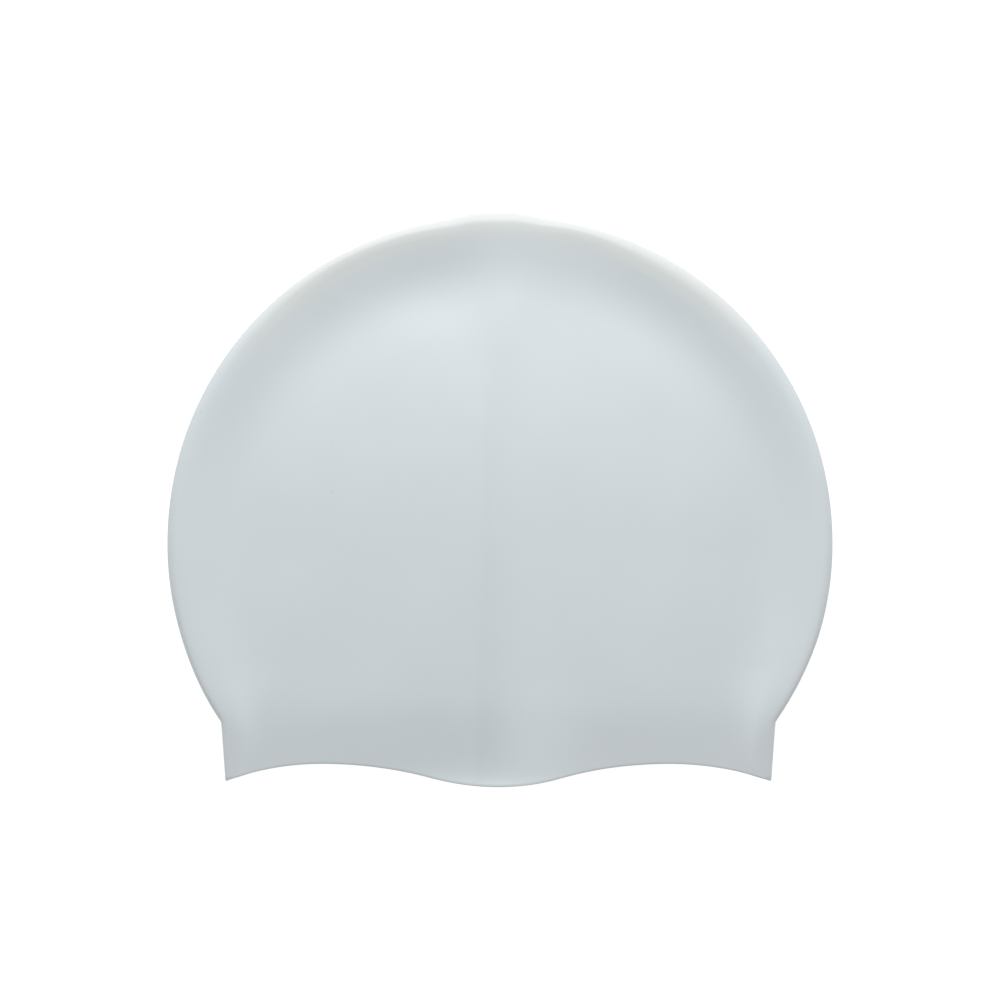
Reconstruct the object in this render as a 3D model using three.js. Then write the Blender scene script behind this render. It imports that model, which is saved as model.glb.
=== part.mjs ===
// A moulded silicone swim cap, lying flat on one of its two faces.
// It is one piece of rubber. Two broad faces meet in a rounded fold that runs from one corner of
// the hem over the crown to the other corner, and the hem between the corners is open, for the head.
// Millimetres. +Z is up, X runs across the cap, +Y points from the hem to the crown, and the lower
// face lies on z = 0. In the functions, y is counted from the widest line of the cap.
import * as THREE from 'three';

const { smoothstep, clamp } = THREE.MathUtils;

// The outline seen from above
const capWidth = 220; // side to side at the widest line
const crownRise = 108.5; // widest line to the crown
const crownRoundness = 2.03; // exponent of the upper outline, where 2 is an ellipse
const neckDrop = 58.8; // widest line to the neck, where the round sides end
const neckInset = 18.3; // how far each side has come in at the neck
const bandHeight = 19.3; // neck to the corners of the hem
const bandTaper = 1.2; // how far each side comes in from the neck to the corner
const archRise = 6.1; // corners of the hem up to the tops of its two arches
const archInset = 34.5; // corner to the top of its arch
const dipDepth = 0.9; // corners down to the dip in the middle of the hem
const dipShare = 0.38; // share of the run from dip to arch top that is the dip's own arc
const creaseOffset = -1.5; // where the packing crease, the dip and the crown's peak lie across the cap
const hemShift = -0.55; // how far the band and hem lie to one side of the middle, as the cap lies askew
const shiftDrop = 25; // widest line to where that shift sets in
const peakRise = 1.1; // how far the crown's outline stands out where the crease crosses it
const peakFlat = 5; // half the length over which it stands out fully
const peakReach = 18; // half the length over which it stands out at all

// Wall and heights above the table
const wall = 1; // thickness of the silicone
const capThickness = 17.4; // lower face to the middle of the upper face
const foldHeight = 9.5; // height of the rounded fold round the crown and sides
const foldReach = 6.9; // how far in from the outline the fold's top lies
const valleyDepth = 2.7; // how far the upper face sinks behind the fold
const valleyReach = 20.4; // outline to the bottom of that valley
const valleyWidth = 13.5; // half the width of the valley
const valleyFillOffset = 12.4; // where the valley is filled at the crown, beside the packing crease
const valleyFillReach = 25.8; // half the length over which it is filled there
const domeReach = 36.7; // outline to where the upper face starts to rise
const domeSoftness = 8.1; // length over which that rise sets in
const shoulderDrop = 54.2; // widest line to where the upper face turns down to the hem
const shoulderSoftness = 3.2; // length over which it turns
const bodyFall = 1.36; // how far the middle of the face comes down before it turns
const hemHeight = 11.3; // height of the upper hem at the dip
const neckSoftness = 3; // length over which the face takes up the turn of the outline at the neck
const lipRise = 1.7; // how far the hem's dip flares up
const lipReach = 3.8; // length of that flare
const tongueHalfWidth = 8.7; // the low tongue of the upper face that runs up over the valley at the crown
const tongueHalfLength = 15.8; // from the tongue's top to where it has nearly faded

const foldRoundness = 3.9; // exponent of the fold's section, where 2 is an ellipse and more is squarer
const domeFullness = 0.57; // exponent of the dome's curve: near 0 a peak, 1 a parabola, higher a flat top
const valleySideShare = 0.84; // share of the valley's depth that is left at the sides
const valleyLean = 0.17; // how much deeper the valley is on the right, as a share
const valleyFill = 0.55; // share of the valley's depth that is filled at the crown
const tongueAcross = 0.013; // place of the tongue's top across the cap, as a share of half the width
const tongueAlong = 0.73; // and its place along, as a share of the crown's rise
const tongueShare = 0.31; // the tongue's rise as a share of the valley's depth

// The fold and what lies behind it, from the widest line down to the corners of the hem.
// down is a share of that way, fold of foldHeight, rim of foldReach, valley of valleyDepth, and reach
// of valleyReach, valleyWidth and domeReach. Where valley is negative, the face bulges up instead.
const sideSections = [
  { down: 0.0, fold: 1.0, rim: 1.0, valley: 1.0, reach: 1.0 },
  { down: 0.25, fold: 0.98, rim: 0.8, valley: 0.85, reach: 0.92 },
  { down: 0.5, fold: 0.94, rim: 0.5, valley: 0.33, reach: 0.8 },
  { down: 0.75, fold: 0.81, rim: 0.36, valley: -0.64, reach: 0.5 },
  { down: 1.0, fold: 0.53, rim: 0.32, valley: -0.76, reach: 0.38 },
];

// The fold's reach round the crown, from left to right. across is a share of half the width, and
// reach of foldReach. The rows are evenly spaced.
const crownFolds = [
  { across: -1, reach: 1 },
  { across: -0.75, reach: 0.97 },
  { across: -0.5, reach: 0.62 },
  { across: -0.25, reach: 0.73 },
  { across: 0, reach: 1 },
  { across: 0.25, reach: 0.68 },
  { across: 0.5, reach: 1.28 },
  { across: 0.75, reach: 1.35 },
  { across: 1, reach: 1 },
];

// Soft bulges of the upper face: left and right of the packing crease, and right above the dip.
// across is a share of half the width and along a share of the crown's rise; the reaches are
// shares of the same two, and rise is a share of the dome's height over the fold.
const bulges = [
  { across: -0.073, acrossReach: 0.153, along: 0.58, alongReach: 0.223, rise: 0.092 },
  { across: 0.079, acrossReach: 0.133, along: 0.641, alongReach: 0.186, rise: 0.106 },
  { across: 0.131, acrossReach: 0.135, along: -0.716, alongReach: 0.186, rise: 0.324 },
];

// How finely the surface is cut into facets
const bodySteps = 60; // along the fold, from neck to neck
const bandSteps = 3; // along each side of the band
const hemSteps = 13; // along the hem, from each corner to the dip
const foldSteps = 4; // round each half of the fold
const faceRings = [0.2, 0.38, 0.53, 0.65, 0.745, 0.815, 0.87, 0.915, 0.96, 1]; // centre to fold

const halfWidth = capWidth / 2;
const neckHalfWidth = halfWidth - neckInset;
const cornerHalfWidth = neckHalfWidth - bandTaper;
const cornerDrop = neckDrop + bandHeight;
const dipDrop = cornerDrop + dipDepth;
const dipOffset = creaseOffset - hemShift; // where the dip lies before the shift
const domeRise = capThickness - foldHeight;

// The half-ellipse of the lower sides would close at this depth if the neck didn't cut it off.
const sideDepth = neckDrop / Math.sqrt(1 - (neckHalfWidth / halfWidth) ** 2);

// A smooth stand-in for max(0, value), which sets in over the given length.
function softRamp(value, length) {
  return Math.max(0, value) + length * Math.log1p(Math.exp(-Math.abs(value) / length));
}

// How steeply a column of a table changes along its key at row i; the first row is level.
function slopeAt(table, key, column, i) {
  if (i === 0) return 0;
  const [before, after] = [table[i - 1], table[Math.min(i + 1, table.length - 1)]];
  return (after[column] - before[column]) / (after[key] - before[key]);
}

// The value in a column of a table at a place along its key, on a smooth curve through its rows.
function between(table, key, column, place) {
  const at = clamp(place, table[0][key], table.at(-1)[key]);
  const next = Math.max(1, table.findIndex((row) => row[key] >= at));
  const [a, b] = [table[next - 1], table[next]];
  const run = b[key] - a[key];
  const t = (at - a[key]) / run;
  const slopes = slopeAt(table, key, column, next - 1) * (1 - t) - slopeAt(table, key, column, next) * t;
  return a[column] + (b[column] - a[column]) * smoothstep(t, 0, 1) + t * (1 - t) * run * slopes;
}

// The value in a column of the side sections at a share of the way down to the corners.
function sideShare(column, down) {
  return between(sideSections, 'down', column, down);
}

// How far in from a point of the outline the fold's top lies.
function rimReach(x, y) {
  if (y > 0) return foldReach * between(crownFolds, 'across', 'reach', x / halfWidth);
  return foldReach * sideShare('rim', -y / cornerDrop);
}

// How far the cap is shifted across at y: by the whole of hemShift from the neck down.
function shiftAt(y) {
  return hemShift * smoothstep(-y, shiftDrop, neckDrop);
}

// Height y of the hem at x: a dip in the middle, an arch on either side and an arc to each corner.
function hemLine(x) {
  const fromDip = Math.abs(x - dipOffset);
  const run = cornerHalfWidth - archInset;
  const rise = archRise + dipDepth;
  const radii = (run * run + rise * rise) / (2 * rise);
  if (fromDip <= dipShare * run) {
    const radius = dipShare * radii;
    return -dipDrop + radius - Math.sqrt(radius ** 2 - fromDip ** 2);
  }
  const archTop = -cornerDrop + archRise;
  if (fromDip <= run) {
    const radius = (1 - dipShare) * radii;
    return archTop - radius + Math.sqrt(radius ** 2 - (run - fromDip) ** 2);
  }
  const outerRun = cornerHalfWidth - Math.sign(x) * dipOffset - run;
  const radius = (outerRun ** 2 + archRise ** 2) / (2 * archRise);
  return archTop - radius + Math.sqrt(radius ** 2 - (fromDip - run) ** 2);
}

// Half the cap's width at y below the widest line, with the neck's turn softened.
function sideLine(y) {
  const body = halfWidth * Math.sqrt(Math.max(0, 1 - (y / sideDepth) ** 2));
  const band = neckHalfWidth - bandTaper * clamp((-y - neckDrop) / bandHeight, 0, 1);
  return band + softRamp(body - band, neckSoftness);
}

// The fold's plan: right corner of the hem, right neck, crown, left neck, left corner.
function foldOutline() {
  const points = [];
  const bandPoint = (side, share) => new THREE.Vector2(
    side * (neckHalfWidth - bandTaper * share), -neckDrop - bandHeight * share);
  for (let i = bandSteps; i > 0; i -= 1) points.push(bandPoint(1, i / bandSteps));
  const neckAngle = Math.asin(neckDrop / sideDepth);
  for (let i = 0; i <= bodySteps; i += 1) {
    const angle = -neckAngle + (Math.PI + 2 * neckAngle) * (i / bodySteps);
    const [cosine, sine] = [Math.cos(angle), Math.sin(angle)];
    if (sine <= 0) {
      points.push(new THREE.Vector2(halfWidth * cosine, sideDepth * sine));
      continue;
    }
    const x = halfWidth * Math.sign(cosine) * Math.abs(cosine) ** (2 / crownRoundness);
    const peak = peakRise * (1 - smoothstep(Math.abs(x - creaseOffset), peakFlat, peakReach));
    points.push(new THREE.Vector2(x, crownRise * sine ** (2 / crownRoundness) + peak));
  }
  for (let i = 1; i <= bandSteps; i += 1) points.push(bandPoint(-1, i / bandSteps));
  return points;
}

// How far a point of the upper face lies from its middle, as a share: 0 in the middle, 1 at the outline.
function outwardShare(x, y) {
  if (y < 0) return Math.abs(x) / sideLine(y);
  const across = Math.abs(x / halfWidth) ** crownRoundness;
  return (across + (y / crownRise) ** crownRoundness) ** (1 / crownRoundness);
}

// Height of the upper face over the table, before it rounds down into the fold.
function faceHeight(x, y) {
  const below = Math.max(0, -y);
  const down = below / cornerDrop;
  const inward = (1 - outwardShare(x, y)) * halfWidth;
  const fold = foldHeight * sideShare('fold', down);

  const toShoulder = Math.min(below, shoulderDrop);
  const curved = bodyFall * (toShoulder / shoulderDrop) ** 2;
  const straight = 2 * bodyFall * (below - toShoulder) / shoulderDrop;
  const straightAtDip = 2 * bodyFall * (dipDrop - shoulderDrop) / shoulderDrop;
  const turnFall = capThickness - bodyFall - straightAtDip - hemHeight;
  const turn = softRamp(below - shoulderDrop, shoulderSoftness) / (dipDrop - shoulderDrop);
  const middle = capThickness - curved - straight - turnFall * turn;

  const reach = sideShare('reach', down);
  const domeStart = domeReach * reach;
  const inShare = softRamp(inward - domeStart, domeSoftness) / (halfWidth - domeStart);
  const full = domeFullness;
  const dome = ((full + 1) * inShare - inShare ** (full + 1)) / full;

  const fromValley = (inward - valleyReach * reach) / (valleyWidth * reach);
  const across = x / halfWidth;
  const lean = 1 - (1 - valleySideShare) * across ** 2 + valleyLean * across;
  const fill = valleyFill * Math.exp(-(((x - valleyFillOffset) / valleyFillReach) ** 2));
  const deepest = valleyDepth * sideShare('valley', down) * lean * (1 - fill);
  const valley = deepest * Math.exp(-(fromValley ** 2));

  const fromHem = y - hemLine(clamp(x, -cornerHalfWidth, cornerHalfWidth));
  const beside = (x - dipOffset) / (dipShare * (cornerHalfWidth - archInset));
  const lip = lipRise * Math.exp(-fromHem / lipReach) * Math.exp(-(beside ** 2));

  let bulge = 0;
  for (const b of bulges) {
    const dx = (x / halfWidth - b.across) / b.acrossReach;
    const dy = (y / crownRise - b.along) / b.alongReach;
    bulge += b.rise * domeRise * Math.exp(-dx * dx - dy * dy);
  }
  const besideTongue = (x - tongueAcross * halfWidth) / tongueHalfWidth;
  const alongTongue = (y - tongueAlong * crownRise) / tongueHalfLength;
  const tongue = tongueShare * valleyDepth * Math.exp(-(besideTongue ** 2) - alongTongue ** 2);
  return fold + (middle - fold) * dome - valley + (lip + bulge) * clamp(dome, 0, 1) + tongue;
}

// A point of the outer surface at a plan place that lies a given way in from the outline.
// The face bends down to the fold's outermost line, halfway up, within the fold's reach.
function outerPoint(x, y, inward, reach, isUpper) {
  const edge = 1 - clamp(inward / reach, 0, 1);
  const round = Math.sqrt(1 - edge ** foldRoundness);
  const top = faceHeight(x, y);
  return new THREE.Vector3(x + shiftAt(y), y, (top / 2) * (isUpper ? 1 + round : 1 - round));
}

// The plan of the fold with the direction inwards and the fold's reach at each of its points.
function foldStations() {
  const outline = foldOutline();
  return outline.map((point, i) => {
    const isCorner = i === 0 || i === outline.length - 1;
    const along = outline[Math.min(i + 1, outline.length - 1)].clone().sub(outline[Math.max(i - 1, 0)]);
    const inwards = new THREE.Vector2(-along.y, along.x).normalize();
    const reach = rimReach(point.x, point.y);
    const planAt = (inward) => {
      if (!isCorner) return point.clone().addScaledVector(inwards, inward);
      const x = Math.sign(point.x) * (cornerHalfWidth - inward);
      return new THREE.Vector2(x, hemLine(x));
    };
    return { reach, planAt };
  });
}

// Plan points of the hem between the two corners' folds, from left to right.
function hemPoints(cornerReach) {
  const points = [];
  const end = cornerHalfWidth - cornerReach;
  for (let i = 1; i < 2 * hemSteps; i += 1) {
    const x = i <= hemSteps
      ? -end + (end + dipOffset) * (i / hemSteps)
      : dipOffset + (end - dipOffset) * (i / hemSteps - 1);
    points.push(new THREE.Vector2(x, hemLine(x)));
  }
  return points;
}

// The outer surface: corner points and triangles that face out, open along the hem.
function outerSurface() {
  const points = [];
  const triangles = [];
  const add = (point) => points.push(point) - 1;
  const quad = (a, b, c, d) => triangles.push([a, b, c], [a, c, d]);

  const stations = foldStations();
  const rays = stations.map(({ planAt, reach }) => ({ end: planAt(reach), planAt, reach }));
  for (const end of hemPoints(stations[0].reach)) rays.push({ end });

  const upperCentre = add(outerPoint(0, 0, halfWidth, foldReach, true));
  const lowerPoint = (x, y) => new THREE.Vector3(x + shiftAt(y), y, 0);
  const lowerCentre = add(lowerPoint(0, 0));
  const columns = rays.map(({ end, planAt, reach }) => {
    const rings = faceRings.map((share) => add(
      outerPoint(end.x * share, end.y * share, foldReach, foldReach, true)));
    const lower = add(lowerPoint(end.x, end.y));
    if (!planAt) return { rings, lower };
    const steps = 2 * foldSteps;
    const fold = [rings.at(-1)];
    for (let i = 1; i < steps; i += 1) {
      const angle = (Math.PI / 2) * (1 - i / foldSteps);
      const inward = reach * (1 - Math.cos(angle) ** (2 / foldRoundness));
      const plan = planAt(inward);
      fold.push(add(outerPoint(plan.x, plan.y, inward, reach, i <= foldSteps)));
    }
    fold.push(lower);
    return { rings, lower, fold };
  });

  columns.forEach((column, i) => {
    const next = columns[(i + 1) % columns.length];
    triangles.push([upperCentre, column.rings[0], next.rings[0]]);
    for (let k = 0; k + 1 < faceRings.length; k += 1) {
      quad(column.rings[k], column.rings[k + 1], next.rings[k + 1], next.rings[k]);
    }
    triangles.push([lowerCentre, next.lower, column.lower]);
    if (!column.fold || !next.fold) return;
    for (let k = 0; k + 1 < column.fold.length; k += 1) {
      quad(column.fold[k], column.fold[k + 1], next.fold[k + 1], next.fold[k]);
    }
  });
  return { points, triangles };
}

// A closed shell from an open surface: the same surface moved in by the wall, and a strip that
// joins the two round the open edge.
function shellGeometry({ points, triangles }) {
  const surface = new THREE.BufferGeometry().setFromPoints(points);
  surface.setIndex(triangles.flat());
  surface.computeVertexNormals();
  const normal = new THREE.Vector3();
  const inner = points.map((point, i) => {
    normal.fromBufferAttribute(surface.getAttribute('normal'), i);
    return point.clone().addScaledVector(normal, -wall);
  });
  const count = points.length;
  const edges = new Set(triangles.flatMap(([a, b, c]) => [`${a} ${b}`, `${b} ${c}`, `${c} ${a}`]));
  const faces = [...triangles, ...triangles.map(([a, b, c]) => [a + count, c + count, b + count])];
  for (const edge of edges) {
    const [a, b] = edge.split(' ').map(Number);
    if (edges.has(`${b} ${a}`)) continue;
    faces.push([b, a, a + count], [b, a + count, b + count]);
  }
  const shell = new THREE.BufferGeometry().setFromPoints([...points, ...inner]);
  shell.setIndex(faces.flat());
  shell.computeVertexNormals();
  return shell;
}

// The silicone cap itself.
function capShell() {
  const silicone = new THREE.MeshStandardMaterial({ color: 0xcbd3d6, roughness: 0.5, metalness: 0 });
  const mesh = new THREE.Mesh(shellGeometry(outerSurface()), silicone);
  mesh.name = 'cap_shell';
  return mesh;
}

// The origin lies on the table, under the middle of the cap's outline.
const swimCap = new THREE.Group();
const shell = capShell();
shell.position.y = (dipDrop - crownRise - peakRise) / 2;
swimCap.add(shell);

export default swimCap;
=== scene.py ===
# A moulded silicone swim cap lies flat on a white table, seen from straight above.
import math

import bpy
import numpy as np
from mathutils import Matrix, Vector


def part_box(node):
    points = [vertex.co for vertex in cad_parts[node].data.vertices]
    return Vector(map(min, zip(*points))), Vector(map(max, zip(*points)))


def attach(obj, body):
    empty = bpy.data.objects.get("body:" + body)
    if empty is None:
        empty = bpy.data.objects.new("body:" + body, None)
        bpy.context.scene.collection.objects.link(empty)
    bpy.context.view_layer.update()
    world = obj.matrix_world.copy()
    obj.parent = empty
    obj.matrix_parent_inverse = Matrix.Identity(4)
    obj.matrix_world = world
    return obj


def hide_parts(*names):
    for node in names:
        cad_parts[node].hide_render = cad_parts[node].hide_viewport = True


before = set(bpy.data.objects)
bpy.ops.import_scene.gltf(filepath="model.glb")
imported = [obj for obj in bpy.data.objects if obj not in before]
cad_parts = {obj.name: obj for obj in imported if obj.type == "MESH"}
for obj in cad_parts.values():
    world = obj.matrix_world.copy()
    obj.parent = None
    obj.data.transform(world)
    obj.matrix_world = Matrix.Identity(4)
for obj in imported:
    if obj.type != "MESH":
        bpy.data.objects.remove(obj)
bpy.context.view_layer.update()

# Metres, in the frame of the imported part: X across the cap, +Y from the hem to the crown, +Z up.
# In the shape functions, y is counted from the widest line of the cap.
cap_low, cap_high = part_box("cap_shell")
cap_width = cap_high.x - cap_low.x
mm = cap_width / 220  # a millimetre on the standard cap, which is 220 mm wide

# The outline seen from above
half_width = cap_width / 2
crown_rise = 108.5 * mm  # widest line to the crown
crown_roundness = 2.03  # exponent of the upper outline, where 2 is an ellipse
neck_drop = 58.8 * mm  # widest line to the neck, where the round sides end
neck_inset = 18.3 * mm  # how far each side comes in from the widest line to the neck
band_height = 19.3 * mm  # neck to the corners of the hem
band_taper = 1.2 * mm  # how far each side comes in from the neck to the corner
arch_rise = 6.1 * mm  # corners of the hem up to the tops of its two arches
arch_inset = 34.5 * mm  # corner to the top of its arch
dip_depth = 0.9 * mm  # corners down to the dip in the middle of the hem
dip_share = 0.38  # share of the run from dip to arch top that is the dip's own arc
crease_offset = -1.5 * mm  # where the packing crease, the dip and the crown's peak lie across the cap
hem_shift = -0.55 * mm  # how far the band and hem lie to one side of the middle, as the cap lies askew
shift_drop = 25 * mm  # widest line to where that shift sets in
peak_rise = 1.1 * mm  # how far the crown's outline stands out where the crease crosses it
peak_flat = 5 * mm  # half the length over which it stands out fully
peak_reach = 18 * mm  # half the length over which it stands out at all

# Wall and heights above the table. Where a form fades away, its width, reach or length runs to where
# about a third of it is left.
wall = 1.0 * mm  # thickness of the silicone
thickness = 17.4 * mm  # lower face to the middle of the upper face
fold_height = 9.5 * mm  # rounded fold round the crown and sides
fold_reach = 6.9 * mm  # how far in from the outline the fold's top lies
fold_roundness = 3.9  # exponent of its section, where 2 is an ellipse and more is squarer
valley_depth = 2.7 * mm  # how far the upper face sinks behind the fold
valley_reach = 20.4 * mm  # outline to the bottom of that valley
valley_width = 13.5 * mm  # from its bottom to either side
valley_side_share = 0.84  # share of its depth that is left at the sides
valley_lean = 0.17  # how much deeper it is on the right, as a share
valley_fill = 0.55  # share of its depth that is filled beside the crease at the crown
valley_fill_offset = 12.4 * mm  # place of that filling across the cap
valley_fill_reach = 25.8 * mm  # from there to either side
dome_reach = 36.7 * mm  # outline to where the upper face starts to rise
dome_softness = 8.1 * mm  # length over which that rise sets in
dome_fullness = 0.57  # exponent of the dome's curve: 1 is a parabola, less is fuller, more is a cone
shoulder_drop = 54.2 * mm  # widest line to where the face turns down to the hem
shoulder_softness = 3.2 * mm  # length over which it turns
body_fall = 1.36 * mm  # how far the middle of the face comes down before it turns
hem_height = 11.3 * mm  # height of the upper hem at the dip
neck_softness = 3 * mm  # length over which the face takes up the turn of the outline at the neck
lip_rise = 1.7 * mm  # how far the hem's dip flares up
lip_reach = 3.8 * mm  # from the hem up the face
ridge_rise = 0.36 * mm  # the packing crease's step, which is soft on its left and sharp on its right
ridge_offset = -6 * mm  # where the step lies on the widest line
ridge_left_reach = 19 * mm  # from its highest line to either side
ridge_right_reach = 2.2 * mm
ridge_middle = 11.7 * mm  # widest line to where the step is highest
ridge_length = 80 * mm  # from there up and down
crease_lean = 0.025  # how far the crease runs to the right for each millimetre up
edge_bulge = 0.35  # how far the hem's trimmed edge stands out, as a share of the wall

neck_half_width = half_width - neck_inset
corner_half_width = neck_half_width - band_taper
corner_drop = neck_drop + band_height
dip_drop = corner_drop + dip_depth
dip_offset = crease_offset - hem_shift  # where the dip lies before the shift
side_depth = neck_drop / math.sqrt(1 - (neck_half_width / half_width) ** 2)
line_y = cap_high.y - crown_rise - peak_rise  # the widest line's place in the frame

# The fold and what lies behind it, from the widest line down to the corners of the hem: share of the
# way down, then shares of fold_height, fold_reach, valley_depth, and the valley's and dome's reach.
# Where valley is negative, the face bulges up instead.
side_sections = [
    {"down": 0.0, "fold": 1.0, "rim": 1.0, "valley": 1.0, "reach": 1.0},
    {"down": 0.25, "fold": 0.98, "rim": 0.8, "valley": 0.85, "reach": 0.92},
    {"down": 0.5, "fold": 0.94, "rim": 0.5, "valley": 0.33, "reach": 0.8},
    {"down": 0.75, "fold": 0.81, "rim": 0.36, "valley": -0.64, "reach": 0.5},
    {"down": 1.0, "fold": 0.53, "rim": 0.32, "valley": -0.76, "reach": 0.38},
]

# The fold's reach round the crown, from left to right: place across the cap as a share of half its
# width, and share of fold_reach.
crown_folds = [
    {"across": -1.0, "reach": 1.0},
    {"across": -0.75, "reach": 0.97},
    {"across": -0.5, "reach": 0.62},
    {"across": -0.25, "reach": 0.73},
    {"across": 0.0, "reach": 1.0},
    {"across": 0.25, "reach": 0.68},
    {"across": 0.5, "reach": 1.28},
    {"across": 0.75, "reach": 1.35},
    {"across": 1.0, "reach": 1.0},
]

# Soft bulges of the dome: centre, reach each way and rise, in millimetres. The first two lie left and
# right of the packing crease, and the third lies above the dip, to its right.
bulges = [
    {"x": -8, "y": 63, "reach_x": 16.8, "reach_y": 24.2, "rise": 0.73},
    {"x": 8.7, "y": 69.6, "reach_x": 14.6, "reach_y": 20.2, "rise": 0.84},
    {"x": 14.4, "y": -77.7, "reach_x": 14.8, "reach_y": 20.2, "rise": 2.56},
]

# The same for the low forms in the valley behind the crown's fold: a tongue of the face that runs up
# over the valley, and a dent left of it.
valley_forms = [
    {"x": 1.8, "y": 77.5, "reach_x": 8.7, "reach_y": 15.8, "rise": 0.95},
    {"x": -24, "y": 80.5, "reach_x": 13.1, "reach_y": 9.7, "rise": -0.3},
]

# How finely the surface is cut
body_steps = 260  # along the fold, from neck to neck
band_steps = 12  # along each side of the band
hem_steps = 70  # along the hem, from each corner to the dip
fold_steps = 8  # round each half of the fold
edge_steps = 4  # round the hem's edge
ring_count = 54  # rings of the upper face, from its middle to the fold
ring_crowding = 0.55  # how much closer they get towards the fold, where the face bends most
lower_rings = [0.4, 0.75, 0.9, 0.96, 1.0]  # rings of the lower face, as shares of its middle to the fold


def smooth(share):
    share = np.clip(share, 0, 1)
    return share * share * (3 - 2 * share)


def soft_ramp(value, length):
    """A smooth stand-in for max(0, value), which sets in over the given length."""
    return length * np.logaddexp(0, value / length)


def table_value(rows, key, column, place):
    """A column of a table at a place along its key, on a smooth curve through its evenly spaced rows."""
    at = np.array([row[key] for row in rows])
    value = np.array([row[column] for row in rows])
    slope = np.gradient(value, at)
    slope[0] = 0
    i = np.clip(np.searchsorted(at, place, side="right") - 1, 0, len(at) - 2)
    run = at[i + 1] - at[i]
    t = (place - at[i]) / run
    fold_highlight = t * (1 - t) * run * (slope[i] * (1 - t) - slope[i + 1] * t)
    return value[i] + (value[i + 1] - value[i]) * smooth(t) + fold_highlight


def side_share(column, down):
    return table_value(side_sections, "down", column, down)


def rim_reach(x, y):
    """How far in from a point of the outline the fold's top lies."""
    side = side_share("rim", np.clip(-y / corner_drop, 0, 1))
    crown = table_value(crown_folds, "across", "reach", np.clip(x / half_width, -1, 1))
    return fold_reach * np.where(y > 0, crown, side)


def shift_at(y):
    """How far the cap is shifted across at y: by the whole of hem_shift from the neck down."""
    return hem_shift * smooth((-y - shift_drop) / (neck_drop - shift_drop))


def hem_line(x):
    """Height y of the hem: a dip in the middle, an arch on either side and an arc to each corner."""
    from_dip = np.abs(x - dip_offset)
    run = corner_half_width - arch_inset
    rise = arch_rise + dip_depth
    radii = (run**2 + rise**2) / (2 * rise)
    dip_radius = dip_share * radii
    arch_radius = (1 - dip_share) * radii
    arch_top = arch_rise - corner_drop
    outer_run = corner_half_width - np.sign(x) * dip_offset - run
    outer_radius = (outer_run**2 + arch_rise**2) / (2 * arch_rise)

    def drop(radius, across):
        return radius - np.sqrt(np.maximum(radius**2 - across**2, 0))

    dip = -dip_drop + drop(dip_radius, from_dip)
    arch = arch_top - drop(arch_radius, run - from_dip)
    outer = arch_top - drop(outer_radius, from_dip - run)
    return np.where(from_dip <= dip_share * run, dip, np.where(from_dip <= run, arch, outer))


def side_line(y):
    """Half the cap's width at y below the widest line, with the neck's turn softened."""
    body = half_width * np.sqrt(np.maximum(0, 1 - (y / side_depth) ** 2))
    band = neck_half_width - band_taper * np.clip((-y - neck_drop) / band_height, 0, 1)
    return band + soft_ramp(body - band, neck_softness)


def outward_share(x, y):
    """How far a point lies from the middle of the face: 0 in the middle, 1 at the outline."""
    power = crown_roundness
    upper = (np.abs(x / half_width) ** power + np.abs(y / crown_rise) ** power) ** (1 / power)
    return np.where(y >= 0, upper, np.abs(x) / side_line(y))


def soft_forms(rows, x, y):
    """The summed rise of a table's soft forms."""
    rise = 0
    for row in rows:
        across = (x - row["x"] * mm) / (row["reach_x"] * mm)
        along = (y - row["y"] * mm) / (row["reach_y"] * mm)
        rise = rise + row["rise"] * mm * np.exp(-(across**2) - along**2)
    return rise


def face_height(x, y):
    """Height of the upper face over the table, before it rounds down into the fold."""
    below = np.maximum(0, -y)
    down = np.clip(below / corner_drop, 0, 1)
    inward = (1 - outward_share(x, y)) * half_width
    fold = fold_height * side_share("fold", down)

    to_shoulder = np.minimum(below, shoulder_drop)
    curved = body_fall * (to_shoulder / shoulder_drop) ** 2
    straight = 2 * body_fall * (below - to_shoulder) / shoulder_drop
    straight_at_dip = 2 * body_fall * (dip_drop - shoulder_drop) / shoulder_drop
    turn_fall = thickness - body_fall - straight_at_dip - hem_height
    turn = soft_ramp(below - shoulder_drop, shoulder_softness) / (dip_drop - shoulder_drop)
    middle = thickness - curved - straight - turn_fall * turn

    reach = side_share("reach", down)
    dome_start = dome_reach * reach
    in_share = soft_ramp(inward - dome_start, dome_softness) / (half_width - dome_start)
    full = dome_fullness
    dome = ((full + 1) * in_share - in_share ** (full + 1)) / full

    from_valley = (inward - valley_reach * reach) / (valley_width * reach)
    across = x / half_width
    fill = valley_fill * np.exp(-(((x - valley_fill_offset) / valley_fill_reach) ** 2))
    lean = 1 - (1 - valley_side_share) * across**2 + valley_lean * across
    valley = valley_depth * side_share("valley", down) * (1 - fill) * lean * np.exp(-(from_valley**2))

    from_hem = y - hem_line(np.clip(x, -corner_half_width, corner_half_width))
    beside = (x - dip_offset) / (dip_share * (corner_half_width - arch_inset))
    lip = lip_rise * np.exp(-from_hem / lip_reach) * np.exp(-(beside**2))

    beside_ridge = x - ridge_offset - crease_lean * y
    ridge_reach = np.where(beside_ridge < 0, ridge_left_reach, ridge_right_reach)
    along_ridge = (y - ridge_middle) / ridge_length
    ridge = ridge_rise * np.exp(-((beside_ridge / ridge_reach) ** 2) - along_ridge**2)
    on_dome = lip + ridge + soft_forms(bulges, x, y)
    in_valley = soft_forms(valley_forms, x, y) - valley
    return fold + (middle - fold) * dome + on_dome * np.clip(dome, 0, 1) + in_valley


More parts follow.
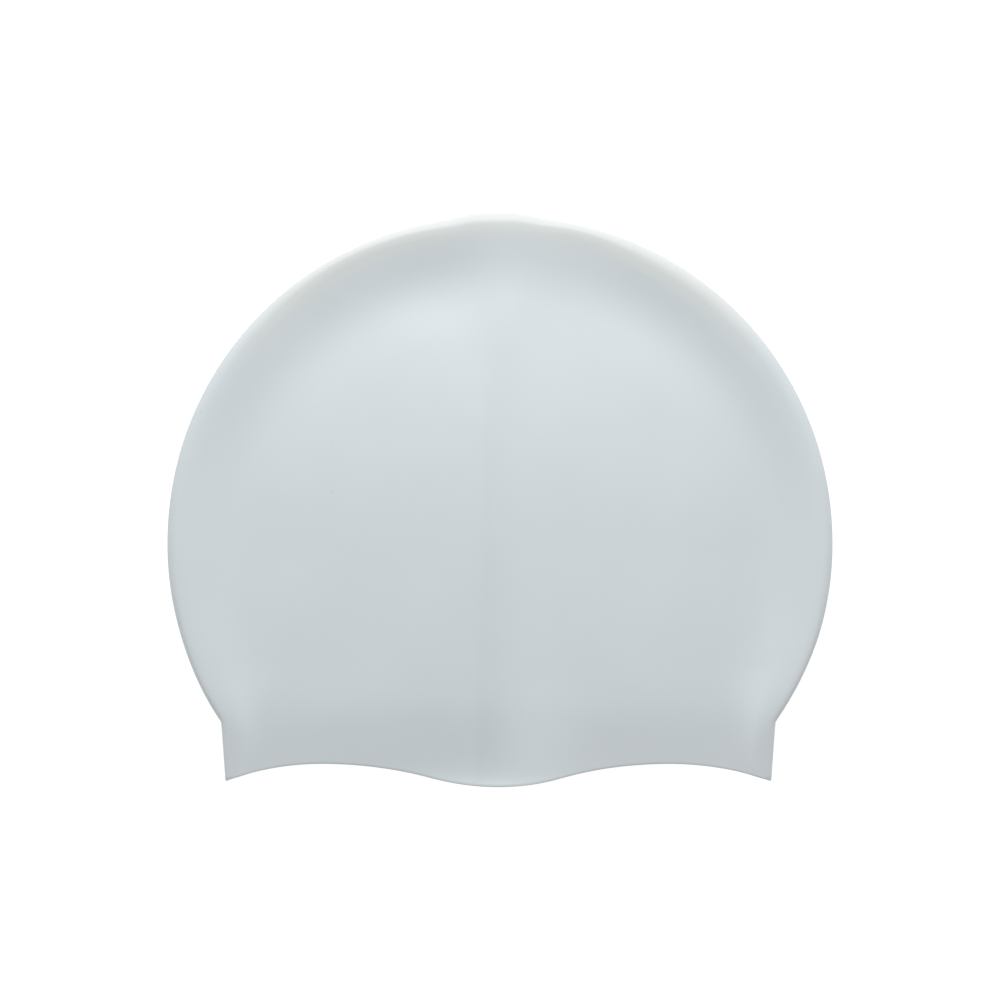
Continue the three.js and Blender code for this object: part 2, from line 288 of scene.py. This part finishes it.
def outer_points(x, y, inward, reach, is_upper):
    """Points of the outer surface, which bends down to the fold's outermost line halfway up."""
    edge = 1 - np.clip(inward / reach, 0, 1)
    rounding = np.sqrt(1 - edge**fold_roundness)
    top = face_height(x, y)
    z = np.where(is_upper, top / 2 * (1 + rounding), top / 2 * (1 - rounding))
    return np.stack([x + shift_at(y), y, z], axis=-1)


def fold_outline():
    """The fold's plan: right corner of the hem, right neck, crown, left neck, left corner."""
    share = np.arange(1, band_steps + 1) / band_steps
    band = np.stack([neck_half_width - band_taper * share, -neck_drop - band_height * share], axis=-1)
    neck_angle = math.asin(neck_drop / side_depth)
    angle = np.linspace(-neck_angle, math.pi + neck_angle, body_steps + 1)
    cosine, sine = np.cos(angle), np.sin(angle)
    upper = sine > 0
    power = 2 / crown_roundness
    x = half_width * np.where(upper, np.sign(cosine) * np.abs(cosine) ** power, cosine)
    peak = peak_rise * (1 - smooth((np.abs(x - crease_offset) - peak_flat) / (peak_reach - peak_flat)))
    y = np.where(upper, crown_rise * np.abs(sine) ** power + peak, side_depth * sine)
    return np.concatenate([band[::-1], np.stack([x, y], axis=-1), band * [-1, 1]])


def surface_grid():
    """The outer surface: corner points and triangles or quads that face out, open along the hem."""
    outline = fold_outline()
    before = np.roll(outline, 1, axis=0)
    after = np.roll(outline, -1, axis=0)
    before[0], after[-1] = outline[0], outline[-1]
    along = after - before
    inwards = np.stack([-along[:, 1], along[:, 0]], axis=-1)
    inwards /= np.linalg.norm(inwards, axis=1, keepdims=True)
    reach = rim_reach(outline[:, 0], outline[:, 1])

    def plan(inward):
        """Plan points a given way in from the fold's outline; those of the corners run along the hem."""
        points = outline + inwards * inward[:, None]
        for i in (0, -1):
            x = np.sign(outline[i, 0]) * (corner_half_width - inward[i])
            points[i] = [x, hem_line(x)]
        return points

    hem_end = corner_half_width - reach[0]
    share = np.arange(1, hem_steps + 1) / hem_steps
    left = -hem_end + (hem_end + dip_offset) * share
    right = dip_offset + (hem_end - dip_offset) * share[:-1]
    hem_x = np.concatenate([left, right])
    ends = np.concatenate([plan(reach), np.stack([hem_x, hem_line(hem_x)], axis=-1)])

    points, faces = [], []

    def add(rows):
        first = sum(len(p) for p in points)
        points.append(rows.reshape(-1, 3))
        return first + np.arange(len(points[-1])).reshape(rows.shape[:-1])

    def strips(rows, closed):
        """Quads between neighbouring rows of points, each row running round the outline."""
        a, b = rows[:-1], rows[1:]
        if closed:
            quads = [a, b, np.roll(b, -1, axis=1), np.roll(a, -1, axis=1)]
        else:
            quads = [a[:, :-1], b[:, :-1], b[:, 1:], a[:, 1:]]
        faces.extend(np.stack(quads, axis=-1).reshape(-1, 4).tolist())

    ring = np.arange(1, ring_count + 1) / ring_count
    ring = ring * (1 + ring_crowding - ring_crowding * ring)
    upper_plan = ends[None] * ring[:, None, None]
    x, y = upper_plan[..., 0], upper_plan[..., 1]
    upper = add(outer_points(x, y, np.full_like(x, fold_reach), fold_reach, True))
    zero = np.zeros(1)
    upper_middle = add(outer_points(zero, zero, zero + fold_reach, fold_reach, True))[0]
    lower_plan = ends[None] * np.array(lower_rings)[:, None, None]
    x, y = lower_plan[..., 0], lower_plan[..., 1]
    lower = add(np.stack([x + shift_at(y), y, np.zeros_like(x)], axis=-1))
    lower_middle = add(np.array([[shift_at(0), 0, 0]]))[0]

    stations = len(outline)
    rows = [upper[-1, :stations]]
    for i in range(1, 2 * fold_steps):
        angle = math.pi / 2 * (1 - i / fold_steps)
        inward = reach * (1 - abs(math.cos(angle)) ** (2 / fold_roundness))
        at = plan(inward)
        rows.append(add(outer_points(at[:, 0], at[:, 1], inward, reach, i <= fold_steps)))
    rows.append(lower[-1, :stations])

    strips(upper, True)
    strips(np.array(rows), False)
    strips(lower[::-1], True)
    for i in range(len(ends)):
        j = (i + 1) % len(ends)
        faces.append([upper_middle, upper[0, i], upper[0, j]])
        faces.append([lower_middle, lower[0, j], lower[0, i]])
    hem = [r[-1] for r in rows] + list(lower[-1, stations:])
    hem += [r[0] for r in reversed(rows)] + list(upper[-1, stations:][::-1])
    return np.concatenate(points), faces, hem


def point_normals(points, faces):
    corners = np.array([f if len(f) == 4 else f + f[-1:] for f in faces])
    a, b, c, d = (points[corners[:, k]] for k in range(4))
    across = np.cross(c - a, d - b)
    normals = np.zeros_like(points)
    for k in range(4):
        np.add.at(normals, corners[:, k], across)
    return normals / np.linalg.norm(normals, axis=1, keepdims=True)


def cap_mesh():
    """The closed shell: outer surface, inner surface a wall's thickness behind it, and hem edge."""
    points, faces, hem = surface_grid()
    normals = point_normals(points, faces)
    inner = points - normals * wall
    count = len(points)
    inner_faces = [[i + count for i in reversed(f)] for f in faces]

    # The hem's edge bulges out between the two surfaces, along the run of the wall at each point.
    hem = np.array(hem)
    run = np.roll(points[hem], -1, axis=0) - np.roll(points[hem], 1, axis=0)
    out = np.cross(normals[hem], run)
    out /= np.linalg.norm(out, axis=1, keepdims=True)
    if np.mean(out[:, 1]) > 0:
        out = -out
    rows = [hem]
    edge_points = []
    for i in range(1, edge_steps):
        angle = math.pi * i / edge_steps
        back = wall * (1 - math.cos(angle)) / 2
        edge_points.append(points[hem] - normals[hem] * back + out * wall * edge_bulge * math.sin(angle))
        rows.append(2 * count + (i - 1) * len(hem) + np.arange(len(hem)))
    rows.append(hem + count)
    edge_faces = []
    for a, b in zip(rows, rows[1:]):
        quads = np.stack([a, np.roll(a, -1), np.roll(b, -1), b], axis=-1)
        edge_faces.extend(quads.tolist())

    everything = np.concatenate([points, inner] + edge_points)
    everything[:, 1] += line_y
    mesh = bpy.data.meshes.new("silicone_cap")
    mesh.from_pydata(everything.tolist(), [], faces + inner_faces + edge_faces)
    slots = [0] * len(faces) + [1] * len(inner_faces) + [2] * len(edge_faces)
    mesh.polygons.foreach_set("material_index", slots)
    mesh.polygons.foreach_set("use_smooth", [True] * len(slots))
    mesh.validate()
    mesh.update()
    return mesh


def node_group(name, inputs, outputs):
    """A new shader node group with named inputs and outputs, and its input and output nodes."""
    group = bpy.data.node_groups.new(name, "ShaderNodeTree")
    for label, kind, value in inputs:
        socket = group.interface.new_socket(label, in_out="INPUT", socket_type=kind)
        socket.default_value = value
    for label, kind in outputs:
        group.interface.new_socket(label, in_out="OUTPUT", socket_type=kind)
    start = group.nodes.new("NodeGroupInput")
    end = group.nodes.new("NodeGroupOutput")
    return group, start, end


def add_node(tree, kind, settings=None, **inputs):
    """A node with its settings, and inputs that are values or the sockets that feed them."""
    node = tree.nodes.new(kind)
    for key, value in (settings or {}).items():
        setattr(node, key, value)
    for key, value in inputs.items():
        socket = node.inputs[int(key[1:])] if key[1:].isdigit() else node.inputs[key.replace("_", " ")]
        if isinstance(value, bpy.types.NodeSocket):
            tree.links.new(value, socket)
        else:
            socket.default_value = value
    return node


def calculate(tree, operation, *values):
    """The result of an arithmetic node on values or sockets."""
    inputs = {f"_{i}": value for i, value in enumerate(values)}
    return add_node(tree, "ShaderNodeMath", {"operation": operation}, **inputs).outputs[0]


def milky_tint_group():
    """Slow changes of tone where the rubber is a little thicker or thinner."""
    group, start, end = node_group(
        "milky tint",
        [
            ("Patch Size", "NodeSocketFloat", 0.03),
            ("Thin Colour", "NodeSocketColor", (0.5, 0.5, 0.5, 1)),
            ("Thick Colour", "NodeSocketColor", (0.5, 0.5, 0.5, 1)),
        ],
        [("Colour", "NodeSocketColor")],
    )
    place = add_node(group, "ShaderNodeTexCoord")
    scale = calculate(group, "DIVIDE", 1.0, start.outputs["Patch Size"])
    noise = add_node(
        group, "ShaderNodeTexNoise", None,
        Vector=place.outputs["Object"], Scale=scale, Detail=3.0, Roughness=0.55,
    )
    mask = add_node(
        group, "ShaderNodeMapRange", None,
        Value=noise.outputs["Fac"], From_Min=tint_noise_low, From_Max=tint_noise_high,
    )
    mix = add_node(
        group, "ShaderNodeMix", {"data_type": "RGBA"},
        _0=mask.outputs[0], _6=start.outputs["Thin Colour"], _7=start.outputs["Thick Colour"],
    )
    group.links.new(mix.outputs[2], end.inputs["Colour"])
    return group


def fine_dust_group():
    """Sparse specks of lint: a mask that is 1 on a speck."""
    group, start, end = node_group(
        "fine dust",
        [
            ("Spacing", "NodeSocketFloat", 0.01),
            ("Speck Size", "NodeSocketFloat", 0.0003),
            ("Share Dusty", "NodeSocketFloat", 0.2),
        ],
        [("Mask", "NodeSocketFloat")],
    )
    place = add_node(group, "ShaderNodeTexCoord")
    scale = calculate(group, "DIVIDE", 1.0, start.outputs["Spacing"])
    cells = add_node(
        group, "ShaderNodeTexVoronoi", {"feature": "F1"}, Vector=place.outputs["Object"], Scale=scale,
    )
    away = calculate(group, "MULTIPLY", cells.outputs["Distance"], start.outputs["Spacing"])
    near = calculate(group, "LESS_THAN", away, start.outputs["Speck Size"])
    chance = add_node(group, "ShaderNodeSeparateColor", None, Color=cells.outputs["Color"])
    dusty = calculate(group, "LESS_THAN", chance.outputs[0], start.outputs["Share Dusty"])
    group.links.new(calculate(group, "MULTIPLY", near, dusty), end.inputs["Mask"])
    return group


def painted_crease_shade_group():
    """Painted shade along the line the cap was packed along, faint and patchy: a mask that is 1 on the
    line.
    """
    group, start, end = node_group(
        "painted crease shade",
        [
            ("Offset", "NodeSocketFloat", 0.0),
            ("Lean", "NodeSocketFloat", 0.0),
            ("Left Reach", "NodeSocketFloat", 0.002),
            ("Right Reach", "NodeSocketFloat", 0.004),
            ("Patch Size", "NodeSocketFloat", 0.02),
            ("Fade Start", "NodeSocketFloat", 0.0),
            ("Fade End", "NodeSocketFloat", 0.1),
            ("Share Left", "NodeSocketFloat", 0.5),
        ],
        [("Mask", "NodeSocketFloat")],
    )
    place = add_node(group, "ShaderNodeTexCoord")
    axes = add_node(group, "ShaderNodeSeparateXYZ", None, Vector=place.outputs["Object"])
    line = calculate(
        group, "MULTIPLY_ADD", axes.outputs["Y"], start.outputs["Lean"], start.outputs["Offset"],
    )
    away = calculate(group, "SUBTRACT", axes.outputs["X"], line)
    reach = add_node(
        group, "ShaderNodeMix", {"data_type": "FLOAT"},
        _0=calculate(group, "LESS_THAN", away, 0.0),
        _2=start.outputs["Right Reach"], _3=start.outputs["Left Reach"],
    )
    share = calculate(group, "DIVIDE", away, reach.outputs[0])
    square = calculate(group, "MULTIPLY", share, share)
    fall = calculate(group, "EXPONENT", calculate(group, "MULTIPLY", square, -1.0))
    scale = calculate(group, "DIVIDE", 1.0, start.outputs["Patch Size"])
    noise = add_node(
        group, "ShaderNodeTexNoise", None, Vector=place.outputs["Object"], Scale=scale, Detail=1.0,
    )
    patch = add_node(
        group, "ShaderNodeMapRange", None, Value=noise.outputs["Fac"],
        From_Min=crease_shade_noise_low, From_Max=crease_shade_noise_high, To_Min=crease_shade_least, To_Max=1.0,
    )
    patchy = calculate(group, "MULTIPLY", fall, patch.outputs[0])
    fade = add_node(
        group, "ShaderNodeMapRange", {"interpolation_type": "SMOOTHSTEP"}, Value=axes.outputs["Y"],
        From_Min=start.outputs["Fade Start"], From_Max=start.outputs["Fade End"],
        To_Min=1.0, To_Max=start.outputs["Share Left"],
    )
    group.links.new(calculate(group, "MULTIPLY", patchy, fade.outputs[0]), end.inputs["Mask"])
    return group


def painted_fold_highlight_group():
    """Painted highlight on the fold round the crown, the side that faces the lamp: a mask that is 1 on
    the fold.
    """
    group, start, end = node_group(
        "painted fold highlight",
        [
            ("Half Width", "NodeSocketFloat", 0.11),
            ("Rise", "NodeSocketFloat", 0.11),
            ("Widest Line", "NodeSocketFloat", 0.0),
            ("Inner Share", "NodeSocketFloat", 0.9),
            ("Outer Share", "NodeSocketFloat", 0.97),
            ("Start Up", "NodeSocketFloat", 0.5),
            ("Full Up", "NodeSocketFloat", 0.8),
        ],
        [("Mask", "NodeSocketFloat")],
    )
    place = add_node(group, "ShaderNodeTexCoord")
    axes = add_node(group, "ShaderNodeSeparateXYZ", None, Vector=place.outputs["Object"])
    across = calculate(group, "DIVIDE", axes.outputs["X"], start.outputs["Half Width"])
    above = calculate(group, "SUBTRACT", axes.outputs["Y"], start.outputs["Widest Line"])
    up = calculate(group, "DIVIDE", above, start.outputs["Rise"])
    place_on_face = add_node(group, "ShaderNodeCombineXYZ", None, X=across, Y=up)
    share = add_node(group, "ShaderNodeVectorMath", {"operation": "LENGTH"}, _0=place_on_face.outputs[0])
    on_fold = add_node(
        group, "ShaderNodeMapRange", {"interpolation_type": "SMOOTHSTEP"}, Value=share.outputs["Value"],
        From_Min=start.outputs["Inner Share"], From_Max=start.outputs["Outer Share"],
    )
    at_crown = add_node(
        group, "ShaderNodeMapRange", {"interpolation_type": "SMOOTHSTEP"}, Value=up,
        From_Min=start.outputs["Start Up"], From_Max=start.outputs["Full Up"],
    )
    mask = calculate(group, "MULTIPLY", on_fold.outputs[0], at_crown.outputs[0])
    group.links.new(mask, end.inputs["Mask"])
    return group


def mould_grain_group():
    """The satin face of the mould: a height made of fine grain on slow waves."""
    group, start, end = node_group(
        "mould grain",
        [
            ("Grain Size", "NodeSocketFloat", 0.0006),
            ("Wave Size", "NodeSocketFloat", 0.012),
            ("Wave Share", "NodeSocketFloat", 0.5),
        ],
        [("Height", "NodeSocketFloat")],
    )
    place = add_node(group, "ShaderNodeTexCoord")
    heights = []
    for label in ("Grain Size", "Wave Size"):
        scale = calculate(group, "DIVIDE", 1.0, start.outputs[label])
        noise = add_node(
            group, "ShaderNodeTexNoise", None, Vector=place.outputs["Object"], Scale=scale, Detail=2.0,
        )
        heights.append(noise.outputs["Fac"])
    mix = add_node(
        group, "ShaderNodeMix", {"data_type": "FLOAT"},
        _0=start.outputs["Wave Share"], _2=heights[0], _3=heights[1],
    )
    group.links.new(mix.outputs[0], end.inputs["Height"])
    return group


# The finish: sizes and shares that all the materials have in common
tint_noise_low, tint_noise_high = 0.3, 0.7  # range of the noise that runs from thin to thick rubber
crease_shade_offset = -4.2 * mm - crease_lean * line_y  # where the painted crease shade crosses y = 0 of the frame
crease_shade_left_reach = 2.6 * mm  # from the line to where about a third of the painted shade is left
crease_shade_right_reach = 6.5 * mm
crease_shade_patch = 22 * mm  # size of its patches
crease_shade_noise_low, crease_shade_noise_high = 0.3, 0.6  # range of the noise that runs from faint to full painted shade
crease_shade_least = 0.3  # share of the painted shade that is left between the patches
crease_shade_fade_start = line_y - 30 * mm  # the painted shade fades from here to the crown
crease_shade_fade_end = line_y + 75 * mm
crease_shade_share_left = 0.15  # share of the painted shade that is left at the crown
highlight_from, highlight_full = 0.9, 0.97  # where the painted highlight sets in, from the middle of the face outwards
highlight_start_up, highlight_full_up = 0.5, 0.8  # and from the widest line up to the crown
dust_spacing = 11 * mm
speck_size = 0.45 * mm  # radius of a speck
wave_size = 14 * mm  # slow waves under the mould's grain
wave_share = 0.4
bump_strength = 0.35
silicone_ior = 1.41
silicone_specular = 0.45

milky_tint = milky_tint_group()
fine_dust = fine_dust_group()
painted_crease_shade = painted_crease_shade_group()
painted_fold_highlight = painted_fold_highlight_group()
mould_grain = mould_grain_group()


def silicone(
    name, thin, thick, fold_highlight_colour, patch, crease_shade_tone, dust_share, dust_tone, grain, grain_depth, roughness,
):
    """Silicone rubber with its own tones, painted crease shade, painted fold highlight, dust and grain;
    the crease shade and dust tones are shares of thin.
    """

    def toned(tone):
        return (*(tone * channel for channel in thin), 1)

    material = bpy.data.materials.new(name)
    material.use_nodes = True
    tree = material.node_tree
    shader = tree.nodes["Principled BSDF"]
    tint = add_node(
        tree, "ShaderNodeGroup", {"node_tree": milky_tint},
        Patch_Size=patch, Thin_Colour=(*thin, 1), Thick_Colour=(*thick, 1),
    )
    # Painted shade: the colour darkens along the packing crease.
    crease_shade = add_node(
        tree, "ShaderNodeGroup", {"node_tree": painted_crease_shade},
        Offset=crease_shade_offset, Lean=crease_lean, Left_Reach=crease_shade_left_reach, Right_Reach=crease_shade_right_reach,
        Patch_Size=crease_shade_patch, Fade_Start=crease_shade_fade_start, Fade_End=crease_shade_fade_end,
        Share_Left=crease_shade_share_left,
    )
    crease_shaded = add_node(
        tree, "ShaderNodeMix", {"data_type": "RGBA"},
        _0=crease_shade.outputs["Mask"], _6=tint.outputs["Colour"], _7=toned(crease_shade_tone),
    )
    # Painted highlight: the crown's fold, which faces the lamp, takes a paler, more neutral colour.
    fold_highlight = add_node(
        tree, "ShaderNodeGroup", {"node_tree": painted_fold_highlight},
        Half_Width=half_width, Rise=crown_rise, Widest_Line=line_y, Inner_Share=highlight_from,
        Outer_Share=highlight_full, Start_Up=highlight_start_up, Full_Up=highlight_full_up,
    )
    fold_highlighted = add_node(
        tree, "ShaderNodeMix", {"data_type": "RGBA"},
        _0=fold_highlight.outputs["Mask"], _6=crease_shaded.outputs[2], _7=(*fold_highlight_colour, 1),
    )
    dust = add_node(
        tree, "ShaderNodeGroup", {"node_tree": fine_dust},
        Spacing=dust_spacing, Speck_Size=speck_size, Share_Dusty=dust_share,
    )
    colour = add_node(
        tree, "ShaderNodeMix", {"data_type": "RGBA"},
        _0=dust.outputs["Mask"], _6=fold_highlighted.outputs[2], _7=toned(dust_tone),
    )
    height = add_node(
        tree, "ShaderNodeGroup", {"node_tree": mould_grain},
        Grain_Size=grain, Wave_Size=wave_size, Wave_Share=wave_share,
    )
    bump = add_node(
        tree, "ShaderNodeBump", None,
        Strength=bump_strength, Distance=grain_depth, Height=height.outputs["Height"],
    )
    tree.links.new(colour.outputs[2], shader.inputs["Base Color"])
    tree.links.new(bump.outputs["Normal"], shader.inputs["Normal"])
    shader.inputs["Roughness"].default_value = roughness
    shader.inputs["IOR"].default_value = silicone_ior
    shader.inputs["Specular IOR Level"].default_value = silicone_specular
    return material


outer_silicone = silicone(
    "satin_silicone_outer",
    thin=(0.542, 0.587, 0.607), thick=(0.558, 0.600, 0.620), fold_highlight_colour=(0.565, 0.588, 0.583),
    patch=35 * mm, crease_shade_tone=0.976, dust_share=0.05, dust_tone=0.93,
    grain=0.7 * mm, grain_depth=0.04 * mm, roughness=0.5,
)
# The inner face takes a darker copy of the outer colour: painted shade for the inside of the cap.
shaded_inner_silicone = silicone(
    "matt_silicone_inner_painted_shade",
    thin=(0.521, 0.565, 0.585), thick=(0.537, 0.578, 0.599), fold_highlight_colour=(0.544, 0.566, 0.561),
    patch=25 * mm, crease_shade_tone=0.97, dust_share=0.1, dust_tone=1.08,
    grain=1 * mm, grain_depth=0.08 * mm, roughness=0.62,
)
# The hem's edge takes a lighter copy of the outer colour: painted light on an edge that faces away from
# the lamp.
lit_hem_silicone = silicone(
    "trimmed_silicone_hem_painted_light",
    thin=(0.575, 0.622, 0.643), thick=(0.597, 0.641, 0.661), fold_highlight_colour=(0.599, 0.623, 0.618),
    patch=10 * mm, crease_shade_tone=0.95, dust_share=0.02, dust_tone=0.9,
    grain=0.4 * mm, grain_depth=0.06 * mm, roughness=0.55,
)

cap = bpy.data.objects.new("silicone_cap", cap_mesh())
bpy.context.scene.collection.objects.link(cap)
for material in (outer_silicone, shaded_inner_silicone, lit_hem_silicone):
    cap.data.materials.append(material)
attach(cap, "root")
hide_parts("cap_shell")


# The table and the light
table_reach = 60 * cap_width  # middle of the cap to the table's sides
table_gap = 0.2 * mm  # the table lies just under the cap's lower face
table_tone, table_glow = 0.15, 0.95  # it glows almost white, so that the light casts next to no shadow
room_light, room_seen = 0.54, 1.0  # the room is seen as white as the table, and lights the cap softly


def table_top():
    """A broad, evenly white table."""
    mesh = bpy.data.meshes.new("table_top")
    corners = [(x * table_reach, y * table_reach, 0) for x, y in ((-1, -1), (1, -1), (1, 1), (-1, 1))]
    mesh.from_pydata(corners, [], [(0, 1, 2, 3)])
    table = bpy.data.objects.new("table_top", mesh)
    bpy.context.scene.collection.objects.link(table)
    material = bpy.data.materials.new("white_table")
    material.use_nodes = True
    shader = material.node_tree.nodes["Principled BSDF"]
    shader.inputs["Base Color"].default_value = (table_tone, table_tone, table_tone, 1)
    shader.inputs["Roughness"].default_value = 0.9
    shader.inputs["Specular IOR Level"].default_value = 0.0
    shader.inputs["Emission Color"].default_value = (1, 1, 1, 1)
    shader.inputs["Emission Strength"].default_value = table_glow
    mesh.materials.append(material)
    table.location.z = -table_gap


def soft_box(name, azimuth, elevation, distance, size, power):
    """A square lamp that faces the cap; azimuth 0 is on the hem's side and 180 beyond the crown."""
    lamp = bpy.data.lights.new(name, "AREA")
    lamp.shape = "SQUARE"
    lamp.size = size
    lamp.energy = power
    box = bpy.data.objects.new(name, lamp)
    bpy.context.scene.collection.objects.link(box)
    a, e = math.radians(azimuth), math.radians(elevation)
    toward = Vector((math.sin(a) * math.cos(e), -math.cos(a) * math.cos(e), math.sin(e)))
    box.location = toward * distance
    box.rotation_euler = toward.to_track_quat("Z", "Y").to_euler()


table_top()
soft_box("window_light", azimuth=180, elevation=38, distance=2.3, size=1.24, power=51)

world = bpy.data.worlds.new("white_room")
world.use_nodes = True
background = world.node_tree.nodes["Background"]
background.inputs["Color"].default_value = (1, 1, 1, 1)
ray = add_node(world.node_tree, "ShaderNodeLightPath")
strength = add_node(
    world.node_tree, "ShaderNodeMapRange", None,
    Value=ray.outputs["Is Camera Ray"], To_Min=room_light, To_Max=room_seen,
)
world.node_tree.links.new(strength.outputs["Result"], background.inputs["Strength"])
bpy.context.scene.world = world

# The camera looks straight down with a long lens.
cap_share = 0.665  # share of the image's width that the cap takes up
image_width = cap_width / cap_share
image_middle = 14.65 * mm  # widest line to the middle of the image
lens, sensor = 100, 36
camera_data = bpy.data.cameras.new("overhead_camera")
camera_data.lens = lens
camera_data.sensor_width = sensor
camera_data.clip_start = 0.05
camera_data.clip_end = 50
camera = bpy.data.objects.new("overhead_camera", camera_data)
bpy.context.scene.collection.objects.link(camera)
camera.location = (0, line_y + image_middle, fold_height / 2 + image_width * lens / sensor)
bpy.context.scene.camera = camera
bpy.context.scene.view_settings.view_transform = "Standard"
